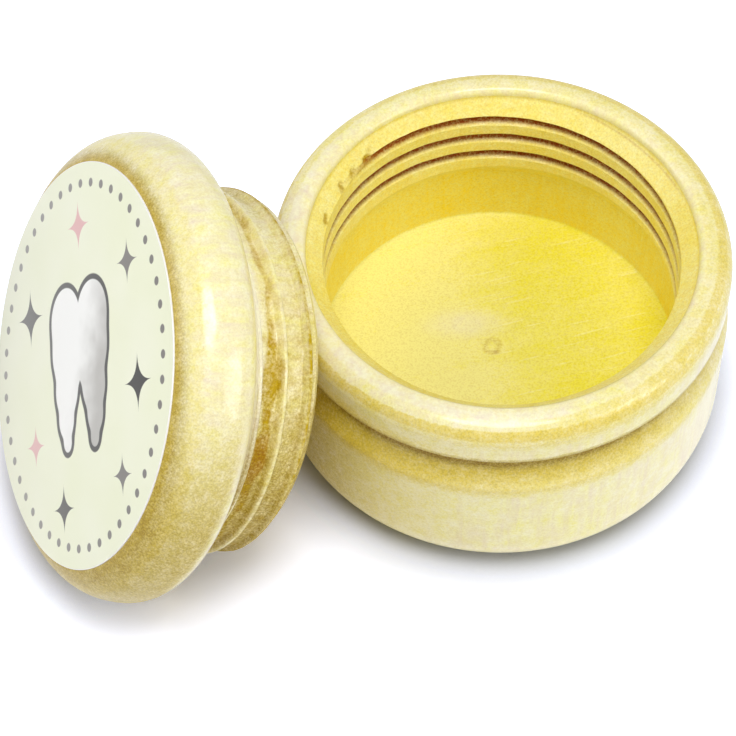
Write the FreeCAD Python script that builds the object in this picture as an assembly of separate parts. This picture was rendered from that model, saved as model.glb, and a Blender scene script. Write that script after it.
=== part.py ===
import FreeCAD, Part
import math
import os

# A small turned wooden box for milk teeth, open, with its screw lid laid down beside it.
# Millimetres, +Z up. The origin is the centre of the base's resting face and Z is the base's axis.
# Three pieces: the turned base with a female thread in its mouth, the turned lid with a threaded
# neck, and the round paper label on the lid's top.

# Base, outside
base_height = 24.6
rim_diameter = 45.0
rim_height = 4.8
rim_top_round = 1.9
cove_depth = 1.2
cove_height = 4.5
cove_throat_drop = 0.7
cove_hollow = 0.22
wall_diameter = 45.6
foot_diameter = 38.7
foot_round_height = 5.0

# Base, inside
mouth_diameter = 38.3
mouth_wall_depth = 1.0
lead_in_depth = 2.4
relief_diameter = 36.6
relief_drop = 10.1
floor_thickness = 5.6

# Screw thread, one right-handed start: a narrow ridge on the lid, a narrow groove in the base
thread_pitch = 2.64
thread_core_diameter = 34.6
thread_crest_diameter = 35.9
thread_ridge_width = 1.05
thread_crest_width = 0.3
thread_clearance = 0.25
thread_start_length = 0.18
thread_taper_length = 1.5
thread_runout_share = 0.35

# Lid
lid_diameter = 45.2
lid_rim_height = 7.5
lid_top_round_share = 0.6
lid_edge_round_share = 0.3
neck_length = 8.7
neck_end_chamfer = 0.45
lid_top_round = lid_rim_height * lid_top_round_share
lid_edge_round = lid_rim_height * lid_edge_round_share

# Label on the lid's top, and how far the flat top reaches past it
label_diameter = 38.8
label_thickness = 0.15
label_margin = 0.2

# How the lid lies beside the base
lid_bearing_deg = 196.5
lid_turn_deg = 180.0
lid_aside_gap = 1.2

# One overrun for all cuts and for faces that are sunk before they are fused
overrun = 0.4

# A rounded edge is turned as this many short flats
round_steps = 3

full_turn_deg = 360.0
quarter_turn_deg = 90.0
middle_share = 0.5


def at(radius, height):
    """A point of a turned outline, given by its radius and height."""
    return FreeCAD.Vector(radius, 0, height)


def rounded(centre, radius, start_deg, end_deg):
    """Points of a rounded edge of an outline about a centre, from one angle to another."""
    points = []
    for step in range(round_steps + 1):
        angle = math.radians(start_deg + (end_deg - start_deg) * step / round_steps)
        points.append(centre + at(radius * math.cos(angle), radius * math.sin(angle)))
    return points


def shoulder_arc(inset, rise):
    """Radius and angle of an arc that leaves a wall smoothly and ends inset from it after a rise."""
    radius = (inset ** 2 + rise ** 2) / (2 * inset)
    return radius, math.degrees(math.asin(rise / radius))


def turned(points):
    """The solid that an outline makes on the lathe; it starts and ends on the axis."""
    outline = Part.Face(Part.makePolygon(points + points[:1]))
    return outline.revolve(FreeCAD.Vector(), FreeCAD.Vector(0, 0, 1), full_turn_deg)


def thread_turns(inner_radius, outer_radius, inner_width, outer_width, low, high):
    """A right-handed helical rib from one height to another, thicker at its inner radius."""
    helix = Part.makeLongHelix(thread_pitch, high - low, inner_radius, 0)
    helix.translate(FreeCAD.Vector(0, 0, low))
    corners = [
        at(inner_radius, low - inner_width * middle_share),
        at(outer_radius, low - outer_width * middle_share),
        at(outer_radius, low + outer_width * middle_share),
        at(inner_radius, low + inner_width * middle_share),
    ]
    section = Part.makePolygon(corners + corners[:1])
    return Part.Wire(helix.Edges).makePipeShell([section], True, True)


def base_outside():
    """The base's outer outline: rounded foot, straight wall, cove and rim bead, up to the mouth."""
    wall_radius = wall_diameter / 2
    rim_radius = rim_diameter / 2
    foot_arc_radius, foot_arc_deg = shoulder_arc(wall_radius - foot_diameter / 2, foot_round_height)
    foot_centre = at(wall_radius - foot_arc_radius, foot_round_height)
    rim_low = base_height - rim_height
    cove_low = at(wall_radius, rim_low - cove_height)
    throat = at(rim_radius - cove_depth, rim_low - cove_throat_drop)
    flank_middle = (cove_low + throat) * middle_share - at(cove_hollow, 0)
    bead_top = at(rim_radius - rim_top_round, base_height - rim_top_round)
    foot = rounded(foot_centre, foot_arc_radius, -foot_arc_deg, 0)
    cove = [cove_low, flank_middle, throat, at(rim_radius, rim_low)]
    return [at(0, 0)] + foot + cove + rounded(bead_top, rim_top_round, 0, quarter_turn_deg)


def base_inside():
    """The base's inner outline: mouth, lead-in, threaded land, relief below it, and floor."""
    mouth_radius = mouth_diameter / 2
    land_radius = thread_core_diameter / 2 + thread_clearance
    relief_radius = relief_diameter / 2
    relief_top = base_height - relief_drop
    relief_step = relief_radius - land_radius
    return [
        at(mouth_radius, base_height),
        at(mouth_radius, base_height - mouth_wall_depth),
        at(land_radius, base_height - lead_in_depth),
        at(land_radius, relief_top),
        at(relief_radius, relief_top - relief_step),
        at(relief_radius, floor_thickness),
        at(0, floor_thickness),
    ]


def base_thread():
    """What the tap takes out of the base's mouth: the lid's ridge, with clearance all round."""
    root_radius = thread_crest_diameter / 2 + thread_clearance
    land_radius = thread_core_diameter / 2 + thread_clearance
    slope = (thread_ridge_width - thread_crest_width) / (root_radius - land_radius)
    inner_width = thread_ridge_width + thread_clearance + slope * overrun
    outer_width = thread_crest_width + thread_clearance
    low = base_height - relief_drop - thread_pitch * middle_share
    high = base_height
    return thread_turns(land_radius - overrun, root_radius, inner_width, outer_width, low, high)


def make_base():
    """The box's base, turned from one block and tapped at its mouth."""
    return turned(base_outside() + base_inside()).cut(base_thread())


def make_lid():
    """The lid on its own axis: top face at zero height, neck downwards."""
    lid_radius = lid_diameter / 2
    core_radius = thread_core_diameter / 2
    shoulder_radius = mouth_diameter / 2 - thread_clearance
    top_inset = lid_radius - label_diameter / 2 - label_margin
    top_arc_radius, top_arc_deg = shoulder_arc(top_inset, lid_top_round)
    top_centre = at(lid_radius - top_arc_radius, -lid_top_round)
    edge_centre = at(lid_radius - lid_edge_round, lid_edge_round - lid_rim_height)
    neck_end = -lid_rim_height - neck_length
    rim = rounded(top_centre, top_arc_radius, top_arc_deg, 0)
    rim = rim + rounded(edge_centre, lid_edge_round, 0, -quarter_turn_deg)
    neck = [
        at(shoulder_radius, -lid_rim_height),
        at(shoulder_radius, -lid_rim_height - mouth_wall_depth),
        at(core_radius, -lid_rim_height - lead_in_depth),
        at(core_radius, neck_end + neck_end_chamfer),
        at(core_radius - neck_end_chamfer, neck_end),
        at(0, neck_end),
    ]
    return turned([at(0, 0)] + rim + neck).fuse(lid_thread(neck_end))


def lid_thread(neck_end):
    """The neck's ridge, which tapers away at the free end of the neck."""
    core_radius = thread_core_diameter / 2
    crest_radius = thread_crest_diameter / 2
    slope = (thread_ridge_width - thread_crest_width) / (crest_radius - core_radius)
    inner_width = thread_ridge_width + slope * overrun
    runout = (lead_in_depth - mouth_wall_depth) * thread_runout_share
    high = -lid_rim_height - mouth_wall_depth - runout
    low = neck_end + thread_start_length
    ridge = thread_turns(core_radius - overrun, crest_radius, inner_width, thread_crest_width, low, high)
    taper = turned([
        at(0, neck_end),
        at(core_radius - neck_end_chamfer, neck_end),
        at(crest_radius + overrun, neck_end + thread_taper_length),
        at(crest_radius + overrun, 0),
        at(0, 0),
    ])
    return ridge.common(taper)


def make_label():
    """The round paper label, lying on the lid's flat top."""
    return Part.makeCylinder(label_diameter / 2, label_thickness)


def lying_tilt_deg(corner_radius, corner_drop):
    """The lid axis's angle above the floor when the rim and one corner of the neck touch it."""
    rise = lid_diameter / 2 - lid_edge_round - corner_radius
    run = corner_drop - (lid_rim_height - lid_edge_round)
    span = math.hypot(rise, run)
    return math.degrees(math.atan2(rise, run) + math.asin(lid_edge_round / span))


def lid_placement():
    """Where the lid lies: on its rim and neck, its neck towards the base."""
    lid_length = lid_rim_height + neck_length
    neck_corner = lying_tilt_deg(thread_core_diameter / 2, lid_length - neck_end_chamfer)
    thread_drop = lid_length - thread_taper_length
    thread_corner = lying_tilt_deg(thread_crest_diameter / 2, thread_drop)
    tilt = math.radians(min(neck_corner, thread_corner))
    edge_drop = lid_rim_height - lid_edge_round
    edge_radius = lid_diameter / 2 - lid_edge_round
    height = lid_edge_round + edge_radius * math.cos(tilt) + edge_drop * math.sin(tilt)
    rim_round_height = base_height - rim_top_round
    neck_end_height = height - lid_length * math.sin(tilt)
    reach = lid_aside_gap + rim_top_round + (rim_round_height - neck_end_height) * math.sin(tilt)
    neck_end_distance = rim_diameter / 2 - rim_top_round + reach / math.cos(tilt)
    distance = neck_end_distance + lid_length * math.cos(tilt)
    bearing = math.radians(lid_bearing_deg)
    outwards = FreeCAD.Vector(math.cos(bearing), math.sin(bearing), 0)
    upwards = FreeCAD.Vector(0, 0, 1)
    lid_axis = outwards * math.cos(tilt) + upwards * math.sin(tilt)
    place = outwards * distance + upwards * height
    print("lid axis tilt", math.degrees(tilt), "distance", distance, "height", height)
    turn = FreeCAD.Rotation(upwards, lid_turn_deg)
    return FreeCAD.Placement(place, FreeCAD.Rotation(upwards, lid_axis).multiply(turn))


def laid_aside(shape, placement):
    """A piece of the lid, moved from its own axis to where the lid lies."""
    placed = shape.copy()
    placed.transformShape(placement.toMatrix())
    return placed


def main():
    """Write one file per piece."""
    os.makedirs("parts", exist_ok=True)
    placement = lid_placement()
    pieces = {
        "box_base": make_base(),
        "screw_lid": laid_aside(make_lid(), placement),
        "lid_label": laid_aside(make_label(), placement),
    }
    for name, shape in pieces.items():
        shape.exportStep("parts/" + name + ".step")
        print(name, "solids", len(shape.Solids), "valid", shape.isValid(), "volume", shape.Volume)


main()
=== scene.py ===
"""A small turned wooden box for milk teeth, open, with its screw lid laid down beside it.

The base and the lid are lathed from filleted outlines, the screw thread is cut into the mouth
and raised on the neck, and the lid carries a round printed paper label.
"""

from __future__ import annotations

import logging
import math
from dataclasses import dataclass, field, replace
from enum import Enum
from typing import Any, Mapping, Sequence, Union

import bmesh
import bpy
from mathutils import Matrix, Vector, noise

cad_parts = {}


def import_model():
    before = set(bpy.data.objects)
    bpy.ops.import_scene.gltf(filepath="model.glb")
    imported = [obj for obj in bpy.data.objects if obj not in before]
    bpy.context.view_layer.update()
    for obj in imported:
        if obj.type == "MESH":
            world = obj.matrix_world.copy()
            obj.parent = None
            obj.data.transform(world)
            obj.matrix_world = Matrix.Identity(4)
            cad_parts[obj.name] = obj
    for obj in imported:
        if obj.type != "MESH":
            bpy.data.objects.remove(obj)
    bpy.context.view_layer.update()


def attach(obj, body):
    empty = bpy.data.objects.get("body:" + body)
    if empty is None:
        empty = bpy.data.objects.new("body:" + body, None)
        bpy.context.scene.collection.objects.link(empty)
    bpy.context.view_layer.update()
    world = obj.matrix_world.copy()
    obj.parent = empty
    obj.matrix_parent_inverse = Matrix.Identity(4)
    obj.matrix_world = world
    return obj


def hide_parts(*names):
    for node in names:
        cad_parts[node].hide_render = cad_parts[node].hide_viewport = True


LOG = logging.getLogger("milk_tooth_box")
MM = 0.001
TURN = 2.0 * math.pi
IMAGE_PIXELS = 736
SECTORS = 8
PLAIN_SPACING = 1.5
WHOLE_STRETCH = 30.0
MERGE_MM = 0.0005
SHARP_DEG = 32.0
Colour = tuple[float, float, float]
Span = tuple[float, float]
WHITE: Colour = (1.0, 1.0, 1.0)
BLACK: Colour = (0.0, 0.0, 0.0)
Number = Union[float, int, "Value"]


def srgb(red: int, green: int, blue: int) -> Colour:
    """Turns a colour as seen on a screen into the linear colour that shaders use.

    Args:
        red: Red, from 0 to 255.
        green: Green, from 0 to 255.
        blue: Blue, from 0 to 255.

    Returns:
        The linear colour.
    """
    shares = [channel / 255.0 for channel in (red, green, blue)]
    linear = [s / 12.92 if s <= 0.04045 else ((s + 0.055) / 1.055) ** 2.4 for s in shares]
    return linear[0], linear[1], linear[2]


def clamped(value: float) -> float:
    """A value held between 0 and 1."""
    return min(max(value, 0.0), 1.0)


def smooth_share(value: float, low: float, high: float) -> float:
    """A share from 0 at low to 1 at high, with soft ends.

    Args:
        value: The value to place.
        low: Where the share is 0.
        high: Where the share is 1.

    Returns:
        The share.
    """
    share = clamped((value - low) / (high - low))
    return share * share * (3.0 - 2.0 * share)


class Value:
    """A number that varies over a surface, written as a Python expression."""

    def __init__(self, graph: "Graph", socket: bpy.types.NodeSocket) -> None:
        """Wraps an output socket of a material's graph."""
        self.graph = graph
        self.socket = socket

    def __add__(self, other: Number) -> "Value":
        """Sum."""
        return self.graph.math("ADD", self, other)

    def __radd__(self, other: Number) -> "Value":
        """Sum, with the number first."""
        return self.graph.math("ADD", other, self)

    def __sub__(self, other: Number) -> "Value":
        """Difference."""
        return self.graph.math("SUBTRACT", self, other)

    def __rsub__(self, other: Number) -> "Value":
        """Difference, with the number first."""
        return self.graph.math("SUBTRACT", other, self)

    def __mul__(self, other: Number) -> "Value":
        """Product."""
        return self.graph.math("MULTIPLY", self, other)

    def __rmul__(self, other: Number) -> "Value":
        """Product, with the number first."""
        return self.graph.math("MULTIPLY", other, self)

    def __abs__(self) -> "Value":
        """Size without the sign."""
        return self.graph.math("ABSOLUTE", self, 0.0)

    def least(self, other: Number) -> "Value":
        """The smaller of two values."""
        return self.graph.math("MINIMUM", self, other)

    def most(self, other: Number) -> "Value":
        """The larger of two values."""
        return self.graph.math("MAXIMUM", self, other)

    def root(self) -> "Value":
        """Square root."""
        return self.graph.math("SQRT", self, 0.0)


class Graph:
    """The nodes of one material, world or floor."""

    def __init__(self, tree: bpy.types.NodeTree) -> None:
        """Starts from an empty node tree."""
        self.tree = tree
        tree.nodes.clear()

    def node(
        self,
        kind: str,
        settings: Mapping[str, Any] | None = None,
        inputs: Mapping[Union[str, int], Any] | None = None,
    ) -> bpy.types.Node:
        """Makes one node.

        Args:
            kind: The node's type.
            settings: Its own settings, set first.
            inputs: Values or links of its sockets, by name or number.

        Returns:
            The node.
        """
        made = self.tree.nodes.new(kind)
        for name, setting in (settings or {}).items():
            setattr(made, name, setting)
        for key, given in (inputs or {}).items():
            socket = made.inputs[key]
            if isinstance(given, Value):
                self.tree.links.new(given.socket, socket)
            elif isinstance(given, bpy.types.NodeSocket):
                self.tree.links.new(given, socket)
            elif socket.type == "RGBA" and len(given) == 3:
                socket.default_value = (*given, 1.0)
            else:
                socket.default_value = given
        return made

    def math(self, operation: str, first: Number, second: Number, third: Number = 0.0) -> Value:
        """One Math node.

        Args:
            operation: The Math node's operation.
            first: First number.
            second: Second number.
            third: Third number, for the operations that use it.

        Returns:
            The result.
        """
        inputs = {0: first, 1: second, 2: third}
        made = self.node("ShaderNodeMath", {"operation": operation}, inputs)
        return Value(self, made.outputs[0])

    def ease(self, value: Number, low: float, high: float) -> Value:
        """A share of a value from 0 at low to 1 at high, with soft ends.

        Args:
            value: The value to place.
            low: Where the share is 0.
            high: Where the share is 1.

        Returns:
            The share.
        """
        settings = {"interpolation_type": "SMOOTHSTEP"}
        inputs = {"Value": value, "From Min": low, "From Max": high}
        return Value(self, self.node("ShaderNodeMapRange", settings, inputs).outputs[0])

    def mix(self, share: Number, first: Any, second: Any) -> bpy.types.NodeSocket:
        """Mixes two colours.

        Args:
            share: How much of the second colour, from 0 to 1.
            first: Colour or colour socket at 0.
            second: Colour or colour socket at 1.

        Returns:
            The mixed colour.
        """
        settings = {"data_type": "RGBA", "clamp_factor": True}
        return self.node("ShaderNodeMix", settings, {0: share, 6: first, 7: second}).outputs[2]

    def place(self, seat: Matrix) -> bpy.types.NodeSocket:
        """Millimetre coordinates on a piece's own axis.

        Args:
            seat: Where the piece's own axes lie in the frame, in metres.

        Returns:
            The coordinates.
        """
        where = self.node("ShaderNodeTexCoord").outputs["Object"]
        inputs = {
            "Vector": where,
            "Location": seat.to_translation(),
            "Rotation": seat.to_euler(),
            "Scale": (MM, MM, MM),
        }
        return self.node("ShaderNodeMapping", {"vector_type": "TEXTURE"}, inputs).outputs[0]

    def turned(self, vector: bpy.types.NodeSocket, angle_deg: float) -> bpy.types.NodeSocket:
        """Coordinates on axes that are turned about Z.

        Args:
            vector: The coordinates.
            angle_deg: How far the new axes are turned.

        Returns:
            The coordinates on the turned axes.
        """
        inputs = {"Vector": vector, "Rotation": (0.0, 0.0, math.radians(angle_deg))}
        return self.node("ShaderNodeMapping", {"vector_type": "TEXTURE"}, inputs).outputs[0]

    def stretch(
        self, vector: bpy.types.NodeSocket, scales: Sequence[float]
    ) -> bpy.types.NodeSocket:
        """Scales coordinates along each axis.

        Args:
            vector: The coordinates.
            scales: One scale per axis.

        Returns:
            The scaled coordinates.
        """
        inputs = {0: vector, 1: tuple(scales)}
        return self.node("ShaderNodeVectorMath", {"operation": "MULTIPLY"}, inputs).outputs[0]

    def noise(self, vector: bpy.types.NodeSocket, scale: float, detail: float = 2.0) -> Value:
        """Soft random values.

        Args:
            vector: Coordinates in millimetres.
            scale: Features per millimetre.
            detail: How many finer layers are added.

        Returns:
            A value around one half.
        """
        inputs = {"Vector": vector, "Scale": scale, "Detail": detail}
        return Value(self, self.node("ShaderNodeTexNoise", {}, inputs).outputs[0])

    def axes(self, vector: bpy.types.NodeSocket) -> tuple[Value, Value, Value]:
        """Splits coordinates into three values."""
        split = self.node("ShaderNodeSeparateXYZ", {}, {0: vector})
        across, back, up = (Value(self, output) for output in split.outputs)
        return across, back, up

    def reach(self, across: Value, back: Value) -> Value:
        """Distance from the middle, from two coordinates."""
        return (across * across + back * back).root()

    def painted(self, mark: "Mark") -> Value:
        """A mark that the mesh carries."""
        made = self.node("ShaderNodeAttribute", {"attribute_name": mark.value})
        return Value(self, made.outputs["Fac"])

    def rays(self, *kinds: str) -> Value:
        """Tells rays of the named kinds from others.

        Args:
            kinds: Names of the Light Path node's outputs.

        Returns:
            A mask, 1 for a ray of any of these kinds.
        """
        path = self.node("ShaderNodeLightPath")
        found = Value(self, path.outputs[kinds[0]])
        for kind in kinds[1:]:
            found = found.most(Value(self, path.outputs[kind]))
        return found

    def surface(self, inputs: Mapping[str, Any]) -> None:
        """Ends the nodes in one surface.

        Args:
            inputs: Values or links of the surface's sockets.
        """
        shader = self.node("ShaderNodeBsdfPrincipled", {}, inputs)
        self.node("ShaderNodeOutputMaterial", {}, {0: shader.outputs[0]})


def new_material(name: str) -> tuple[bpy.types.Material, Graph]:
    """Makes an empty material.

    Args:
        name: The material's name.

    Returns:
        The material and its nodes.
    """
    material = bpy.data.materials.new(name)
    material.use_nodes = True
    return material, Graph(material.node_tree)


class Mark(Enum):
    """Values that the meshes carry for their finishes."""

    # The marks for age, dirt, stains and tears also carry painted shade, and the age mark below 0
    # makes the wood paler, which on the base's wall is painted light.
    HOLLOW = "hollow"
    AGE_AND_SHADE = "age_and_shade"
    STAIN_AND_SHADE = "stain_and_shade"
    SOIL_AND_SHADE = "soil_and_shade"
    TORN_AND_SHADE = "torn_and_shade"

    def layer(self, mesh: bmesh.types.BMesh) -> bmesh.types.BMLayerItem:
        """Where a mesh's points keep the mark."""
        return mesh.verts.layers.float[self.value]


@dataclass(frozen=True)
class Grain:
    """The random values that one piece's wood is mixed from, finest first."""

    speck: Value
    grit: Value
    fibre: Value
    mottle: Value
    drift: Value


@dataclass(frozen=True)
class TurnedWood:
    """Pale turned hardwood under a thin glossy lacquer, raw and yellower inside."""

    cream: Colour = srgb(253, 248, 212)
    lemon: Colour = srgb(243, 235, 126)
    # Yellow of aged wood, also laid on as painted shade.
    beige: Colour = srgb(237, 220, 197)
    age_and_shade: Colour = srgb(230, 205, 78)
    # Brown of dirt, also laid on as painted shade.
    dirt_and_shade: Colour = srgb(146, 116, 38)
    inner_pale: Colour = srgb(255, 250, 160)
    inner_warm: Colour = srgb(255, 231, 72)
    inner_dirt: Colour = srgb(186, 146, 14)
    floor_warm: Colour = srgb(247, 239, 76)
    # Dark brown of burns and stains, also laid on as painted shade in the thread's grooves and the
    # cove's throat.
    burnt: Colour = srgb(146, 70, 2)
    ochre: Colour = srgb(192, 162, 10)
    lacquer_roughness: float = 0.4
    raw_roughness: float = 0.52
    coat: float = 0.85
    coat_roughness: float = 0.14
    specular: float = 0.12
    bump: float = 0.14
    bump_mm: float = 0.1
    speck_scale: float = 6.0
    grit_scale: float = 3.4
    fibre_scale: float = 2.0
    fibre_stretch: float = 0.07
    mottle_scale: float = 0.8
    drift_scale: float = 0.11
    patch_stretch: float = 0.7
    patch_edge: Span = (0.44, 0.64)
    cloud_scale: float = 0.7
    cloud_stretch: float = 0.3
    streak_turn_deg: float = 14.0
    streak_stretch: float = 0.06
    streak_scale: float = 2.4
    streak_edge: Span = (0.6, 0.72)
    soft_streak_scale: float = 0.6
    floor_edge: Span = (0.1, 0.4)
    floor_sides: Span = (-7.0, 8.0)
    burr_radius: float = 0.75
    burr_edge: Span = (0.02, 0.45)

    def material(
        self, name: str, seat: Matrix, floor_height: float | None = None
    ) -> bpy.types.Material:
        """Makes the finish for one piece.

        Args:
            name: The material's name.
            seat: Where the piece's own axes lie, so that the grain runs along its axis.
            floor_height: Height of the hollow's floor in millimetres, for the piece that has one.

        Returns:
            The material.
        """
        material, graph = new_material(name)
        place = graph.place(seat)
        hollow, age_and_shade, stain_and_shade, soil_and_shade, torn_and_shade = (graph.painted(mark) for mark in Mark)
        fibres = graph.stretch(place, (1.0, 1.0, self.fibre_stretch))
        grain = Grain(
            graph.noise(place, self.speck_scale, 1.0) - 0.5,
            graph.noise(place, self.grit_scale, 2.0) - 0.5,
            graph.noise(fibres, self.fibre_scale, 3.0) - 0.5,
            graph.noise(place, self.mottle_scale, 4.0) - 0.5,
            graph.noise(place, self.drift_scale, 2.0) - 0.5,
        )
        inner = self._inside(graph, place, grain, floor_height)
        colour = graph.mix(hollow, self._outside(graph, place, grain, age_and_shade), inner)
        blotches = graph.stretch(place, (1.0, 1.0, self.patch_stretch))
        patches = graph.ease(graph.noise(blotches, self.mottle_scale, 4.0), *self.patch_edge)
        # Tears and dirt, and painted shade wherever the pieces mark it.
        colour = graph.mix(torn_and_shade * (0.68 + 0.4 * patches + grain.grit), colour, self.ochre)
        speckled = soil_and_shade * (0.95 + grain.speck * 1.3 + grain.grit * 0.9 + grain.mottle * 0.7)
        colour = graph.mix(speckled + torn_and_shade * (grain.speck + grain.grit * 0.8), colour, self.dirt_and_shade)
        # Stains and burns, and painted shade in the grooves and the cove's throat.
        scorch_and_shade = stain_and_shade * (0.95 + grain.grit * 0.8 + grain.speck * 0.6)
        colour = graph.mix(scorch_and_shade, colour, self.burnt)
        bare = (1.0 - torn_and_shade) * (1.0 - stain_and_shade) * (1.0 - soil_and_shade * 0.4)
        roughness = self.lacquer_roughness + hollow * (self.raw_roughness - self.lacquer_roughness)
        roughness = roughness + torn_and_shade * 0.15 + grain.grit * 0.1
        height = grain.grit * 0.35 + grain.fibre * 0.5 + torn_and_shade * (patches + grain.grit)
        inputs = {"Strength": self.bump, "Distance": self.bump_mm * MM, "Height": height}
        graph.surface({
            "Base Color": colour,
            "Roughness": roughness,
            "Normal": graph.node("ShaderNodeBump", {}, inputs).outputs[0],
            "Coat Weight": self.coat * (1.0 - hollow * 0.8) * (1.0 - age_and_shade * 0.4) * bare,
            "Coat Roughness": self.coat_roughness,
            "Specular IOR Level": self.specular,
        })
        return material

    def _outside(
        self, graph: Graph, place: bpy.types.NodeSocket, grain: Grain, age_and_shade: Value
    ) -> bpy.types.NodeSocket:
        """The lacquered wood: cream with lemon mottles and beige clouds, yellowed by age and by
        painted shade.

        Below 0 the same mark makes the wood paler, and towards -1 beige; on the base's wall this
        is painted light.

        Args:
            graph: The material's nodes.
            place: Coordinates in millimetres.
            grain: The piece's random values.
            age_and_shade: How yellowed the wood is, by age and by painted shade.

        Returns:
            The colour.
        """
        yellow = 0.42 + grain.mottle * 1.4 + grain.grit + grain.drift * 0.8 + age_and_shade.least(0.0)
        colour = graph.mix(yellow, self.cream, self.lemon)
        clouds = graph.stretch(place, (1.0, 1.0, self.cloud_stretch))
        cloud = graph.noise(clouds, self.cloud_scale, 3.0) - 0.5
        dull = 0.22 + cloud * 1.3 + grain.fibre * 1.1 + grain.grit * 0.8
        dull = dull + graph.ease(age_and_shade * -1.0, 0.4, 1.0) * 0.75
        colour = graph.mix(dull * (1.0 - graph.ease(age_and_shade, 0.0, 0.4) * 0.8), colour, self.beige)
        yellowed_and_shaded = age_and_shade * (0.92 + grain.mottle * 0.5 + grain.grit * 0.9)
        colour = graph.mix(yellowed_and_shaded, colour, self.age_and_shade)
        grime_and_shade = age_and_shade * (0.02 + grain.speck * 0.6 + grain.mottle * 0.3)
        return graph.mix(0.035 + grain.speck * 0.35 + grime_and_shade, colour, self.dirt_and_shade)

    def _inside(
        self, graph: Graph, place: bpy.types.NodeSocket, grain: Grain, floor_height: float | None
    ) -> bpy.types.NodeSocket:
        """The raw wood of the hollow, with the cutter's marks on its floor.

        Args:
            graph: The material's nodes.
            place: Coordinates in millimetres.
            grain: The piece's random values.
            floor_height: Height of the floor in millimetres, or None for a piece without one.

        Returns:
            The colour.
        """
        warmth = 0.66 + grain.drift * 0.9 + grain.fibre * 0.6
        warmth = warmth + grain.mottle * 0.6 + grain.grit * 1.2
        specks = 0.05 + grain.speck * 0.65
        if floor_height is None:
            colour = graph.mix(warmth, self.inner_pale, self.inner_warm)
            return graph.mix(specks, colour, self.inner_dirt)
        across, back, height = graph.axes(place)
        floor_low, floor_high = (floor_height + edge for edge in self.floor_edge)
        floor = 1.0 - graph.ease(height, floor_low, floor_high)
        along = graph.turned(place, self.streak_turn_deg)
        along = graph.stretch(along, (self.streak_stretch, 1.0, 0.0))
        streaks = graph.ease(graph.noise(along, self.streak_scale, 1.0), *self.streak_edge)
        soft_streaks = graph.noise(along, self.soft_streak_scale, 3.0) - 0.5
        side = graph.ease(across + grain.drift * 6.0, *self.floor_sides)
        warmth = warmth + floor * (side * 0.8 - 0.72 - streaks * 0.6 + soft_streaks * 0.8)
        warm = graph.mix(floor, self.inner_warm, self.floor_warm)
        colour = graph.mix(warmth, self.inner_pale, warm)
        paling = self._spot(graph, (across + 3.2) * 0.45, back - 3.8, 0.4, 2.6)
        colour = graph.mix(floor * paling * (0.62 + grain.mottle), colour, self.cream)
        reach = graph.reach(across + 0.4, back - 0.8)
        ring = abs(reach - self.burr_radius - grain.mottle * 1.4)
        burr = 1.0 - graph.ease(ring, *self.burr_edge)
        colour = graph.mix(floor * burr * (0.26 + grain.grit), colour, self.inner_dirt)
        plug = self._spot(graph, across + 0.1, back - 0.1, 0.0, 0.4)
        colour = graph.mix(floor * plug * 0.4, colour, self.burnt)
        return graph.mix(specks, colour, self.inner_dirt)

    def _spot(self, graph: Graph, across: Value, back: Value, core: float, reach: float) -> Value:
        """A soft round spot.

        Args:
            graph: The material's nodes.
            across: Distance from its middle along X.
            back: Distance from its middle along Y.
            core: Radius that is full.
            reach: Radius where it ends.

        Returns:
            A mask, 1 in the middle.
        """
        return 1.0 - graph.ease(graph.reach(across, back), core, reach)


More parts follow.
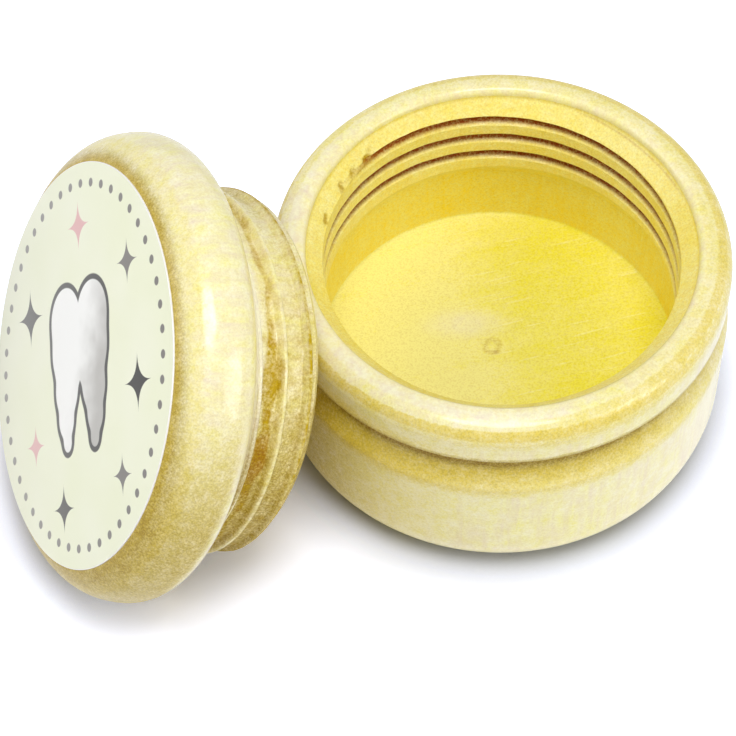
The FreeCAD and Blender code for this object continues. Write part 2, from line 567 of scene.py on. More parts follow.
@dataclass(frozen=True)
class PrintedPaper:
    """Glossy paper printed with a plain tooth, sparkles and a dotted border."""

    ground: Colour = srgb(236, 241, 204)
    ground_pale: Colour = srgb(246, 247, 228)
    enamel: Colour = srgb(250, 250, 248)
    enamel_shade: Colour = srgb(186, 184, 180)
    ink: Colour = srgb(38, 36, 36)
    grey: Colour = srgb(122, 118, 114)
    pink: Colour = srgb(228, 176, 176)
    bare_edge: Span = (19.29, 19.35)
    roughness: float = 0.28
    coat: float = 0.6
    coat_roughness: float = 0.12
    line_edge: Span = (0.2, 0.34)
    shade_edge: Span = (0.6, 4.6)
    sparkle_soft: float = 0.08
    border_radius: float = 17.4
    border_dots: int = 48
    dot_edge: Span = (0.36, 0.48)
    tooth_blend: float = 1.6
    tooth_lobes: tuple[tuple[float, float, float], ...] = (
        (2.9, 4.6, 3.5),
        (2.3, 1.6, 4.0),
        (3.0, -2.2, 2.7),
        (3.2, -5.0, 1.9),
        (3.0, -7.2, 1.1),
    )

    def material(self, name: str, seat: Matrix, turn_deg: float) -> bpy.types.Material:
        """Makes the printed finish.

        Args:
            name: The material's name.
            seat: Where the lid's own axes lie.
            turn_deg: How far the print is turned about the lid's axis.

        Returns:
            The material.
        """
        material, graph = new_material(name)
        place = graph.place(seat @ Matrix.Rotation(math.radians(turn_deg), 4, "Z"))
        across, up, _ = graph.axes(place)
        cloud = graph.noise(place, 0.12, 1.0)
        colour = graph.mix(cloud, self.ground, self.ground_pale)
        colour = graph.mix(self._border(graph, across, up), colour, self.grey)
        rim = graph.ease(graph.reach(across, up), *self.bare_edge)
        colour = graph.mix(rim, colour, self.enamel)
        for dx, dy, reach, tone in self._sparkles():
            mask = self._sparkle(graph, across - dx, up - dy, reach)
            colour = graph.mix(mask, colour, tone)
        tooth = self._tooth(graph, across, up)
        shade = across * 0.5 - up * 0.2 + graph.noise(place, 0.35, 2.0) * 3.0
        shade = graph.ease(shade, *self.shade_edge)
        enamel = graph.mix(shade, self.enamel, self.enamel_shade)
        line_low, line_high = self.line_edge
        colour = graph.mix(1.0 - graph.ease(tooth, line_low, line_high), colour, self.ink)
        colour = graph.mix(1.0 - graph.ease(tooth, -line_high, -line_low), colour, enamel)
        graph.surface({
            "Base Color": colour,
            "Roughness": self.roughness,
            "Coat Weight": self.coat,
            "Coat Roughness": self.coat_roughness,
        })
        return material

    def _sparkles(self) -> list[tuple[float, float, float, Colour]]:
        """Places, reaches and tones of the printed sparkles, in millimetres."""
        return [
            (-11.0, 6.0, 3.2, self.ink),
            (10.6, 8.4, 2.4, self.grey),
            (12.2, -3.0, 3.0, self.ink),
            (-10.4, -6.8, 2.3, self.pink),
            (0.4, 13.4, 2.6, self.pink),
            (8.6, -11.2, 2.2, self.grey),
            (-4.2, -13.4, 2.6, self.ink),
        ]

    def _sparkle(self, graph: Graph, across: Value, up: Value, reach: float) -> Value:
        """A four-pointed sparkle.

        Args:
            graph: The material's nodes.
            across: Distance from its middle to the right.
            up: Distance from its middle upwards.
            reach: Length of its points.

        Returns:
            A mask, 1 inside.
        """
        spread = abs(across).root() + abs(up).root()
        edge = math.sqrt(reach)
        return 1.0 - graph.ease(spread, edge - self.sparkle_soft, edge)

    def _border(self, graph: Graph, across: Value, up: Value) -> Value:
        """A ring of small dots near the label's edge.

        Args:
            graph: The material's nodes.
            across: Distance from the middle to the right.
            up: Distance from the middle upwards.

        Returns:
            A mask, 1 on the dots.
        """
        step = TURN / self.border_dots
        angle = graph.math("ARCTAN2", up, across) * (1.0 / step)
        along = (graph.math("FRACT", angle, 0.0) - 0.5) * (step * self.border_radius)
        out = graph.reach(across, up) - self.border_radius
        return 1.0 - graph.ease(graph.reach(along, out), *self.dot_edge)

    def _tooth(self, graph: Graph, across: Value, up: Value) -> Value:
        """Distance from the outline of a plain tooth with two roots.

        Args:
            graph: The material's nodes.
            across: Distance from the middle to the right.
            up: Distance from the middle upwards.

        Returns:
            The distance, below 0 inside.
        """
        side = abs(across)
        lobes = [
            graph.reach(side - out, up - rise) - radius for out, rise, radius in self.tooth_lobes
        ]
        outline = lobes[0]
        for lobe in lobes[1:]:
            outline = graph.math("SMOOTH_MIN", outline, lobe, self.tooth_blend)
        return outline


@dataclass(frozen=True)
class Corner:
    """A corner of a turned outline, in millimetres, and what its wood is like there."""

    radius: float
    height: float
    rounding: float = 0.0
    inside: float = 0.0
    spacing: float = PLAIN_SPACING
    age_and_shade: float = 0.0
    soil_and_shade: float = 0.0


@dataclass(frozen=True)
class Thread:
    """The coarse screw thread that lid and base share, in millimetres."""

    pitch: float = 2.64
    core_radius: float = 17.3
    crest_radius: float = 17.95
    ridge_width: float = 1.05
    crest_width: float = 0.3
    clearance: float = 0.25

    def offset(self, height: float, angle: float, start: float) -> tuple[float, float]:
        """Where a point lies beside the nearest turn of the helix.

        Args:
            height: The point's height.
            angle: The point's angle about the axis.
            start: The helix's height at angle 0.

        Returns:
            The distance along the axis from that turn's middle, and that turn's number with
            its share of a turn.
        """
        share = (angle % TURN) / TURN
        turns = (height - start) / self.pitch - share
        whole = round(turns)
        return (turns - whole) * self.pitch, whole + share


def rounded_outline(corners: Sequence[Corner], steps: int = 6) -> list[Corner]:
    """Rounds the corners of an outline with tangent arcs.

    Args:
        corners: The outline's corners in order.
        steps: Short edges in each rounding.

    Returns:
        The outline's points in order.
    """
    points: list[Corner] = []
    for index, corner in enumerate(corners):
        here = Vector((corner.radius, corner.height))
        if corner.rounding <= 0.0 or index in (0, len(corners) - 1):
            points.append(corner)
            continue
        before = Vector((corners[index - 1].radius, corners[index - 1].height)) - here
        after = Vector((corners[index + 1].radius, corners[index + 1].height)) - here
        before.normalize()
        after.normalize()
        half = 0.5 * math.acos(max(-1.0, min(1.0, before.dot(after))))
        inward = (before + after).normalized()
        centre = here + inward * (corner.rounding / math.sin(half))
        first = here + before * (corner.rounding / math.tan(half)) - centre
        sweep = math.pi - 2.0 * half
        sense = 1.0 if before.x * after.y - before.y * after.x < 0.0 else -1.0
        for step in range(steps + 1):
            angle = sense * sweep * step / steps
            spoke = Vector((
                first.x * math.cos(angle) - first.y * math.sin(angle),
                first.x * math.sin(angle) + first.y * math.cos(angle),
            ))
            point = centre + spoke
            spacing = corner.spacing if step == steps else PLAIN_SPACING
            points.append(
                replace(corner, radius=point.x, height=point.y, rounding=0.0, spacing=spacing)
            )
    return points


def arc_corners(
    centre: tuple[float, float],
    radius: float,
    start_deg: float,
    end_deg: float,
    age_and_shade: Sequence[float],
) -> list[Corner]:
    """Corners along a rounded edge, each rounded so that the edge is smooth.

    Args:
        centre: Radius and height of the arc's centre.
        radius: The arc's radius.
        start_deg: Angle of the first corner.
        end_deg: Angle of the last corner.
        age_and_shade: How yellowed the wood is at each corner; its length sets their number.

    Returns:
        The corners in order.
    """
    step = math.radians(end_deg - start_deg) / (len(age_and_shade) - 1)
    smooth = radius * math.cos(0.5 * step)
    corners: list[Corner] = []
    for index, share in enumerate(age_and_shade):
        angle = math.radians(start_deg) + step * index
        reach = centre[0] + radius * math.cos(angle)
        rise = centre[1] + radius * math.sin(angle)
        corners.append(Corner(reach, rise, smooth, age_and_shade=share))
    return corners


def shoulder_arc(inset: float, rise: float) -> tuple[float, float]:
    """An arc that leaves a wall smoothly and ends inset from it after a rise.

    Args:
        inset: How far from the wall it ends.
        rise: How far along the wall it ends.

    Returns:
        Its radius, and its angle in degrees.
    """
    radius = (inset ** 2 + rise ** 2) / (2.0 * inset)
    return radius, math.degrees(math.asin(rise / radius))


def lathe(corners: Sequence[Corner], columns: int) -> bmesh.types.BMesh:
    """Turns an outline into a closed mesh, with rows as close as each corner asks.

    Args:
        corners: The outline from the axis back to the axis; a corner's spacing holds for the
            stretch that follows it.
        columns: Faces round the axis.

    Returns:
        The mesh in metres, with its marks.
    """
    mesh = bmesh.new()
    layers = {mark: mesh.verts.layers.float.new(mark.value) for mark in Mark}
    line: list[bmesh.types.BMVert] = []
    for corner in corners:
        vertex = mesh.verts.new((corner.radius * MM, 0.0, corner.height * MM))
        vertex[layers[Mark.HOLLOW]] = corner.inside
        vertex[layers[Mark.AGE_AND_SHADE]] = corner.age_and_shade
        vertex[layers[Mark.SOIL_AND_SHADE]] = corner.soil_and_shade
        line.append(vertex)
    wanted = mesh.edges.layers.int.new("cuts")
    for start, end, corner in zip(line, line[1:], corners):
        edge = mesh.edges.new((start, end))
        edge[wanted] = int(edge.calc_length() / (corner.spacing * MM))
    for cuts in {edge[wanted] for edge in mesh.edges} - {0}:
        edges = [edge for edge in mesh.edges if edge[wanted] == cuts]
        bmesh.ops.subdivide_edges(mesh, edges=edges, cuts=cuts)
    line_geometry = mesh.verts[:] + mesh.edges[:]
    sweep = TURN / SECTORS
    bmesh.ops.spin(
        mesh,
        geom=line_geometry,
        cent=(0, 0, 0),
        axis=(0, 0, 1),
        angle=sweep,
        steps=columns // SECTORS,
    )
    sector = mesh.verts[:] + mesh.edges[:] + mesh.faces[:]
    for count in range(1, SECTORS):
        copied = bmesh.ops.duplicate(mesh, geom=sector)["geom"]
        moved = [item for item in copied if isinstance(item, bmesh.types.BMVert)]
        turn = Matrix.Rotation(sweep * count, 3, "Z")
        bmesh.ops.rotate(mesh, cent=(0, 0, 0), matrix=turn, verts=moved)
    bmesh.ops.remove_doubles(mesh, verts=mesh.verts[:], dist=MERGE_MM * MM)
    bmesh.ops.recalc_face_normals(mesh, faces=mesh.faces[:])
    return mesh


def finished(
    mesh: bmesh.types.BMesh,
    name: str,
    material: bpy.types.Material,
    sharp_deg: float = SHARP_DEG,
) -> bpy.types.Object:
    """Makes a shown piece of a mesh.

    Args:
        mesh: The mesh, already in its place.
        name: The piece's name.
        material: Its finish.
        sharp_deg: Edges steeper than this stay sharp.

    Returns:
        The piece.
    """
    data = bpy.data.meshes.new(name)
    mesh.to_mesh(data)
    mesh.free()
    data.materials.append(material)
    data.polygons.foreach_set("use_smooth", [True] * len(data.polygons))
    data.set_sharp_from_angle(angle=math.radians(sharp_deg))
    piece = bpy.data.objects.new(name, data)
    bpy.context.scene.collection.objects.link(piece)
    LOG.info("%s: %d faces", name, len(data.polygons))
    return piece


@dataclass(frozen=True)
class Chip:
    """A little piece torn out of the mouth beside the thread, in degrees and millimetres."""

    angle_deg: float
    height: float
    half_width: float
    half_height: float
    depth: float


@dataclass
class TurnedBase:
    """The base: rounded foot, straight wall, cove, rim bead, tapped mouth and hollow."""

    height: float = 24.6
    rim_radius: float = 22.5
    rim_height: float = 4.8
    rim_round: float = 1.9
    cove_depth: float = 1.2
    cove_height: float = 4.5
    cove_hollow: float = 0.22
    throat_drop: float = 0.7
    wall_radius: float = 22.8
    foot_radius: float = 19.35
    foot_height: float = 5.0
    mouth_radius: float = 19.15
    mouth_depth: float = 1.0
    lead_in_depth: float = 2.4
    relief_radius: float = 18.3
    relief_drop: float = 10.1
    floor_height: float = 5.6
    flat_margin: float = 1.5
    wall_margin: float = 1.6
    run_in: Span = (0.58, 0.8)
    run_out: Span = (3.33, 3.42)
    least_cut: float = 0.001
    groove_lean: float = 0.18
    groove_stain_and_shade: Span = (-0.1, 0.75)
    chip_slant: float = 0.7
    chip_rough: float = 0.5
    chip_rough_scale: float = 1.5
    chip_edge: Span = (0.2, 1.2)
    chip_stain: float = 0.25
    scratch_start_deg: Span = (14.0, 24.0)
    scratch_end_deg: Span = (56.0, 66.0)
    scratch_drop: float = 0.17
    scratch_wave: float = 0.05
    scratch_waves: float = 7.0
    scratch_edge: Span = (0.02, 0.12)
    scratch_stain: float = 0.3
    mouth_front: Span = (0.3, 0.9)
    mouth_front_painted_light: float = 0.4
    rim_aged: float = 0.3
    rim_aged_out: Span = (0.4, 1.0)
    rim_aged_side: Span = (-0.4, 0.7)
    rim_pale_side: Span = (-1.0, -0.1)
    wall_painted_light_side: Span = (0.4, 0.95)
    # How much paler the rim's left is, and the wall's right, where the paler tone is painted
    # light.
    paling: float = 0.35
    # The fields from here to the throat's value paint the lid's shade onto the side of the base
    # that faces it.
    shade_bearing_deg: float = 203.0
    shade_wide_deg: Span = (16.0, 72.0)
    shade_near_deg: Span = (0.0, 44.0)
    shade_share: float = 0.28
    bead_shade_yellowing: float = 0.85
    bead_shade_rise: Span = (1.0, 2.6)
    wall_shade_yellowing: float = 0.6
    throat_painted_shadow: float = 0.45
    columns: int = 352
    chips: tuple[Chip, ...] = (
        Chip(136.0, 22.46, 0.9, 0.36, 0.2),
        Chip(143.2, 22.44, 0.7, 0.4, 0.22),
        Chip(150.6, 22.4, 0.64, 0.38, 0.2),
        Chip(164.0, 22.44, 0.9, 0.24, 0.16),
    )
    thread: Thread = field(default_factory=Thread)
    wood: TurnedWood = field(default_factory=TurnedWood)

    def outline(self) -> list[Corner]:
        """The base's outline, from the middle of the underside to the middle of the floor."""
        rim_low = self.height - self.rim_height
        cove_low = rim_low - self.cove_height
        arc_radius, arc_deg = shoulder_arc(self.wall_radius - self.foot_radius, self.foot_height)
        foot_centre = (self.wall_radius - arc_radius, self.foot_height)
        foot = arc_corners(foot_centre, arc_radius, -arc_deg, 0.0, (0.0, 0.0, 0.0, 0.0))
        throat = Vector((self.rim_radius - self.cove_depth, rim_low - self.throat_drop))
        flank = (Vector((self.wall_radius, cove_low)) + throat) * 0.5
        flank.x -= self.cove_hollow
        deep = flank.lerp(throat, 0.4)
        bead_centre = (self.rim_radius - self.rim_round, self.height - self.rim_round)
        outside = [
            Corner(0.0, 0.0, spacing=WHOLE_STRETCH),
            Corner(self.foot_radius - self.flat_margin, 0.0),
            replace(foot[0], rounding=0.5),
            *foot[1:],
            Corner(self.wall_radius, cove_low - self.wall_margin),
            # The cove: a yellowed flank, and the throat under the bead darkened, partly with dirt
            # and partly as painted shade in the recess.
            Corner(self.wall_radius, cove_low, 1.4, spacing=0.3, age_and_shade=0.6),
            Corner(flank.x, flank.y, 0.6, spacing=0.1, age_and_shade=1.0, soil_and_shade=0.15),
            Corner(deep.x, deep.y, 0.0, spacing=0.1, age_and_shade=1.0, soil_and_shade=0.75),
            Corner(throat.x, throat.y, 0.2, spacing=0.1, age_and_shade=1.0, soil_and_shade=1.0),
            Corner(self.rim_radius, rim_low, 0.3, spacing=0.1, age_and_shade=0.6, soil_and_shade=0.45),
            Corner(self.rim_radius, rim_low + 0.6, age_and_shade=0.1),
            Corner(self.rim_radius, rim_low + 1.8, age_and_shade=0.1),
            *arc_corners(bead_centre, self.rim_round, 0.0, 90.0, (0.5, 0.85, 0.4, 0.0)),
            # The mouth's rounded lip keeps mostly the outside's cream: a painted highlight along
            # the edge, beside the coat's own highlight there.
            Corner(self.mouth_radius, self.height, 0.7, inside=0.15, spacing=0.1),
        ]
        return rounded_outline(outside + self._inside())

    def _inside(self) -> list[Corner]:
        """The corners of the mouth, the threaded land, the relief and the floor."""
        land = self.thread.core_radius + self.thread.clearance
        relief_top = self.height - self.relief_drop
        relief_step = self.relief_radius - land
        wall_low = self.height - self.mouth_depth
        land_top = self.height - self.lead_in_depth
        flat_radius = self.relief_radius - self.flat_margin
        return [
            Corner(self.mouth_radius, wall_low, 0.5, inside=0.75, spacing=0.08, soil_and_shade=0.07),
            Corner(land, land_top, inside=0.8, spacing=0.105, soil_and_shade=0.06),
            Corner(land, relief_top, 0.25, inside=0.8, spacing=0.15),
            Corner(self.relief_radius, relief_top - 2.0 * relief_step, 0.8, inside=1.0),
            Corner(self.relief_radius, self.floor_height, 0.3, inside=1.0),
            Corner(flat_radius, self.floor_height, inside=1.0, spacing=WHOLE_STRETCH),
            Corner(0.0, self.floor_height, inside=1.0),
        ]

    def build(self) -> bpy.types.Object:
        """Turns the base and taps its mouth.

        Returns:
            The piece.
        """
        mesh = lathe(self.outline(), self.columns)
        self._tap(mesh)
        self._tear(mesh)
        self._weather(mesh)
        material = self.wood.material("base_wood", Matrix(), self.floor_height)
        return finished(mesh, "turned_base", material)

    def _weather(self, mesh: bmesh.types.BMesh) -> None:
        """Yellows the rim at its back and right and pales its left, and paints light on the wall's
        right as a paler tone.

        The side that faces the lid gets painted shade: the bead and wall yellower, the cove's
        throat browner, and the wall nearest the lid darker and patched.

        Args:
            mesh: The tapped base.
        """
        hollow, age_and_shade, stain_and_shade, soil_and_shade, torn_and_shade = (mark.layer(mesh) for mark in Mark)
        rim_low = self.height - self.rim_height
        land_top = self.height - self.lead_in_depth
        wall_low = self.height - self.mouth_depth
        for vertex in mesh.verts:
            height = vertex.co.z / MM
            if vertex[hollow] > 0.4:
                # Painted light: the lead-in and mouth wall at the front are painted paler, with
                # less of the hollow's yellow, against the shade that falls there.
                front = smooth_share(-vertex.co.y / MM / self.mouth_radius, *self.mouth_front)
                lead_in = smooth_share(height, land_top, wall_low)
                vertex[hollow] *= 1.0 - self.mouth_front_painted_light * front * lead_in
                continue
            right = vertex.co.x / MM / self.rim_radius
            towards = right + 0.6 * vertex.co.y / MM / self.rim_radius
            if height > self.height - 0.3 * self.rim_round:
                out = vertex.co.xy.length / MM - self.mouth_radius
                # The yellowing starts a little out from the mouth, so the lip stays pale: a
                # painted highlight along the mouth's edge.
                yellow = smooth_share(out, *self.rim_aged_out)
                yellow *= smooth_share(towards, *self.rim_aged_side)
                pale = 1.0 - smooth_share(towards, *self.rim_pale_side)
                vertex[age_and_shade] += self.rim_aged * yellow - self.paling * pale
                continue
            # Painted light: the wall and bead turn paler towards the right, where the light falls.
            vertex[age_and_shade] -= self.paling * smooth_share(right, *self.wall_painted_light_side)
            # Painted shade from the lid: towards its bearing the bead and wall turn yellower, the
            # cove's throat browner, and the wall nearest the lid darker and patched.
            bearing = math.degrees(math.atan2(vertex.co.y, vertex.co.x)) % 360.0
            beside = abs(bearing - self.shade_bearing_deg)
            wide_shade = 1.0 - smooth_share(beside, *self.shade_wide_deg)
            near = 1.0 - smooth_share(beside, *self.shade_near_deg)
            if height > rim_low + 0.5:
                upper = smooth_share(height - rim_low, *self.bead_shade_rise)
                vertex[age_and_shade] = min(vertex[age_and_shade] + (self.bead_shade_yellowing - upper) * wide_shade, 1.0)
                continue
            throat = smooth_share(vertex[soil_and_shade], 0.5, 1.0)
            vertex[stain_and_shade] = max(vertex[stain_and_shade], self.throat_painted_shadow * throat * wide_shade)
            vertex[age_and_shade] = min(vertex[age_and_shade] + self.wall_shade_yellowing * wide_shade, 1.0)
            vertex[torn_and_shade] = max(vertex[torn_and_shade], self.shade_share * near)
            vertex[soil_and_shade] = max(vertex[soil_and_shade], self.shade_share * near)

    def _tap(self, mesh: bmesh.types.BMesh) -> None:
        """Cuts the groove of the thread into the mouth.

        Args:
            mesh: The turned base.
        """
        thread = self.thread
        hollow = Mark.HOLLOW.layer(mesh)
        stain_and_shade = Mark.STAIN_AND_SHADE.layer(mesh)
        land = thread.core_radius + thread.clearance
        root = thread.crest_radius + thread.clearance
        land_half = 0.5 * (thread.ridge_width + thread.clearance)
        root_half = 0.5 * (thread.crest_width + thread.clearance)
        lowest = self.height - self.relief_drop
        start = lowest - 0.5 * thread.pitch
        for vertex in mesh.verts:
            height = vertex.co.z / MM
            radius = vertex.co.xy.length / MM
            if vertex[hollow] < 0.5 or height < lowest or radius < land - 0.1:
                continue
            angle = math.atan2(vertex.co.y, vertex.co.x)
            beside, turns = thread.offset(height, angle, start)
            share = clamped((land_half - abs(beside)) / (land_half - root_half))
            fade = smooth_share(turns, *self.run_in) * (1.0 - smooth_share(turns, *self.run_out))
            deeper = (land + (root - land) * share - radius) * fade
            if deeper > self.least_cut:
                # The groove is stained dark brown, partly a real stain and partly painted shade in
                # the recess, leaning towards one flank.
                dark = deeper / (root - land) + self.groove_lean * beside / land_half
                vertex[stain_and_shade] = smooth_share(dark, *self.groove_stain_and_shade)
                vertex.co.xy *= (radius + deeper) / radius

    def _tear(self, mesh: bmesh.types.BMesh) -> None:
        """Tears the chips out where the thread runs out, and scratches the lead-in.

        Args:
            mesh: The tapped base.
        """
        hollow = Mark.HOLLOW.layer(mesh)
        stain_and_shade = Mark.STAIN_AND_SHADE.layer(mesh)
        torn_and_shade = Mark.TORN_AND_SHADE.layer(mesh)
        lowest = self.height - self.lead_in_depth - 0.3
        scratch_height = self.height - self.mouth_depth - self.scratch_drop
        for vertex in mesh.verts:
            height = vertex.co.z / MM
            if vertex[hollow] < 0.5 or height < lowest:
                continue
            radius = vertex.co.xy.length / MM
            angle_deg = math.degrees(math.atan2(vertex.co.y, vertex.co.x))
            deeper = 0.0
            for chip in self.chips:
                along = math.radians(angle_deg - chip.angle_deg) * radius / chip.half_width
                rise = (height - chip.height) / chip.half_height + self.chip_slant * along
                ragged = self.chip_rough * noise.noise(vertex.co / MM * self.chip_rough_scale)
                share = 1.0 - smooth_share(math.hypot(rise, along) + ragged, *self.chip_edge)
                deeper = max(deeper, chip.depth * share)
                vertex[torn_and_shade] = max(vertex[torn_and_shade], share)
                dark = self.chip_stain * smooth_share(share, 0.3, 0.9)
                vertex[stain_and_shade] = max(vertex[stain_and_shade], dark)
            vertex.co.xy *= (radius + deeper) / radius
            ends = smooth_share(angle_deg, *self.scratch_start_deg)
            ends *= 1.0 - smooth_share(angle_deg, *self.scratch_end_deg)
            wave = self.scratch_wave * math.sin(math.radians(angle_deg) * self.scratch_waves)
            off = abs(height - scratch_height - wave)
            scratch = 1.0 - smooth_share(off, *self.scratch_edge)
            vertex[stain_and_shade] = max(vertex[stain_and_shade], self.scratch_stain * ends * scratch)


@dataclass(frozen=True)
class Rent:
    """A place on the neck where the torn line is broad, in degrees and millimetres."""

    angle_deg: float
    widening: float
    burnt: float


@dataclass
class ScrewLid:
    """The lid: rounded rim, and a neck with the raised thread."""

    radius: float = 22.6
    flat_radius: float = 19.6
    rim_height: float = 7.5
    top_round: float = 4.5
    edge_round: float = 2.25
    neck_length: float = 8.7
    end_chamfer: float = 0.45
    shoulder_radius: float = 18.9
    shoulder_length: float = 1.0
    lead_in_depth: float = 2.4
    start_length: float = 0.18
    taper_length: float = 1.5
    runout_share: float = 0.35
    thread_overrun: float = 0.4
    front_shade_yellowing: float = 0.65
    front_shade_darkening: float = 0.46
    front_shade_height: Span = (22.0, 38.0)
    edge_depth: Span = (5.2, 6.8)
    pale_share: float = 0.8
    pale_depth: Span = (7.1, 7.4)
    pale_height: Span = (16.0, 34.0)
    ring_depth: Span = (0.15, 1.0)
    ring_shade_widening: float = 2.6
    ring_stain_and_shade: float = 0.52
    ring_shade_low: float = 0.12
    neck_soil_and_shade: float = 0.55
    neck_age_and_shade: float = 0.5
    neck_torn_and_shade: float = 0.42
    neck_shade_height: Span = (17.0, 35.0)
    neck_whole_height: Span = (30.5, 34.0)
    neck_whole_share: float = 0.55
    crest_unshaded_rise: Span = (0.3, 0.6)
    crest_unshaded_share: float = 0.75
    bared_depth: Span = (2.2, 2.8)
    rough_scale: float = 1.4
    blotch_scale: float = 0.6
    wander_scale: float = 0.35
    along_scale: float = 0.7
    rough_mm: float = 0.05
    rent_depth: float = 3.6
    rent_reach_deg: Span = (4.0, 13.0)
    rent_edge: Span = (0.08, 0.5)
    scar_share: float = 0.95
    scar_drop: float = 0.06
    scar_edge: Span = (0.14, 0.36)
    scar_turns: Span = (1.0, 1.1)
    tilt_deg: float = 27.592396494891847
    bearing_deg: float = 196.5
    turn_deg: float = 180.0
    distance: float = 42.36780213265675
    lift: float = 22.71718058070066
    columns: int = 384
    rents: tuple[Rent, ...] = (Rent(155.0, 0.55, 0.06), Rent(129.0, 0.4, 0.4))
    thread: Thread = field(default_factory=Thread)
    wood: TurnedWood = field(default_factory=TurnedWood)

    def seat(self) -> Matrix:
        """Where the lid lies: the middle of its top, and its axis, in metres."""
        bearing = math.radians(self.bearing_deg)
        tilt = math.radians(self.tilt_deg)
        outwards = Vector((math.cos(bearing), math.sin(bearing), 0.0))
        upwards = Vector((0.0, 0.0, 1.0))
        axis = outwards * math.cos(tilt) + upwards * math.sin(tilt)
        lean = upwards.rotation_difference(axis).to_matrix().to_4x4()
        middle = (outwards * self.distance + upwards * self.lift) * MM
        turn = Matrix.Rotation(math.radians(self.turn_deg), 4, "Z")
        return Matrix.Translation(middle) @ lean @ turn

    def outline(self) -> list[Corner]:
        """The lid's outline on its own axis, from the middle of its top to the neck's end."""
        core = self.thread.core_radius
        shoulder = self.shoulder_radius
        rim_low = -self.rim_height
        cone_low = rim_low - self.lead_in_depth
        neck_end = rim_low - self.neck_length
        arc_radius, arc_deg = shoulder_arc(self.radius - self.flat_radius, self.top_round)
        top_centre = (self.radius - arc_radius, -self.top_round)
        # The top is yellowest at the label's edge, part of the darker ring round the label: a
        # yellowed band with painted shade.
        top = arc_corners(top_centre, arc_radius, arc_deg, 0.0, (1.0, 0.2, 0.0, 0.0))
        edge_centre = (self.radius - self.edge_round, self.edge_round - self.rim_height)
        edge = arc_corners(edge_centre, self.edge_round, 0.0, -90.0, (0.0, 0.0, 0.1, 0.5))
        return rounded_outline([
            Corner(0.0, 0.0, age_and_shade=1.0),
            replace(top[0], rounding=0.4, spacing=0.3),
            *top[1:],
            *edge,
            # The crease between rim and neck is yellowed and darkened, painted shade in the
            # crease.
            Corner(shoulder, rim_low, 0.15, spacing=0.1, age_and_shade=1.0, soil_and_shade=0.4),
            Corner(shoulder, rim_low - 0.4, spacing=0.2, age_and_shade=0.4),
            Corner(shoulder, rim_low - self.shoulder_length, 0.2, spacing=0.09, age_and_shade=-0.5),
            Corner(core, cone_low, spacing=0.09, age_and_shade=-0.5),
            Corner(core, cone_low - 0.6, spacing=0.09, age_and_shade=0.1),
            Corner(core, neck_end + self.end_chamfer, spacing=0.15, age_and_shade=-0.05),
            Corner(core - self.end_chamfer, neck_end, age_and_shade=0.3),
            Corner(0.0, neck_end, age_and_shade=0.4),
        ])

    def build(self) -> bpy.types.Object:
        """Turns the lid, raises its thread and lays it down.

        Returns:
            The piece.
        """
        mesh = lathe(self.outline(), self.columns)
        self._raise_thread(mesh)
        seat = self.seat()
        self._weather(mesh, seat)
        bmesh.ops.transform(mesh, matrix=seat, verts=mesh.verts[:])
        return finished(mesh, "turned_lid", self.wood.material("lid_wood", seat))

    def _weather(self, mesh: bmesh.types.BMesh, seat: Matrix) -> None:
        """Paints shade on the lid's lower front and, with some real dirt, on its lower neck, and
        darkens a ring round its label, a yellowed band with painted shade.

        Args:
            mesh: The threaded lid on its own axis.
            seat: Where the lid lies.
        """
        age_and_shade = Mark.AGE_AND_SHADE.layer(mesh)
        soil_and_shade = Mark.SOIL_AND_SHADE.layer(mesh)
        torn_and_shade = Mark.TORN_AND_SHADE.layer(mesh)
        for vertex in mesh.verts:
            depth = -vertex.co.z / MM
            height = (seat @ vertex.co).z / MM
            if depth > self.rim_height + 0.02:
                # Painted shade with some real dirt: the neck is yellower, dirtier and more patched
                # lower down, except on the thread's crests.
                low = 1.0 - smooth_share(height, *self.neck_shade_height)
                if depth > self.rim_height + self.lead_in_depth:
                    raised = vertex.co.xy.length / MM - self.thread.core_radius
                    unshaded = smooth_share(raised, *self.crest_unshaded_rise)
                    low *= 1.0 - self.crest_unshaded_share * unshaded
                vertex[soil_and_shade] = max(vertex[soil_and_shade], self.neck_soil_and_shade * low)
                vertex[age_and_shade] = min(vertex[age_and_shade] + self.neck_age_and_shade * low, 1.0)
                whole = self.neck_whole_share * smooth_share(height, *self.neck_whole_height)
                vertex[torn_and_shade] = min(vertex[torn_and_shade] * (1.0 - whole) + self.neck_torn_and_shade * low, 1.0)
                continue
            # Painted shade: the rim's lower front is yellower and darker.
            low = 1.0 - smooth_share(height, *self.front_shade_height)
            edge = smooth_share(depth, *self.edge_depth)
            front = low * (1.0 - edge)
            pale = edge * (1.0 - smooth_share(depth, *self.pale_depth))
            pale *= 1.0 - smooth_share(height, *self.pale_height)
            yellow = self.front_shade_yellowing * front - self.pale_share * pale
            vertex[age_and_shade] = min(vertex[age_and_shade] + yellow, 1.0)
            # A darker ring round the label: a yellowed band with painted shade, wider and darker
            # lower down.
            ring_start, ring_end = self.ring_depth
            ring = 1.0 - smooth_share(depth, ring_start, ring_end + self.ring_shade_widening * low)
            ring *= self.ring_stain_and_shade + self.ring_shade_low * low
            vertex[soil_and_shade] = max(vertex[soil_and_shade], ring, self.front_shade_darkening * front)

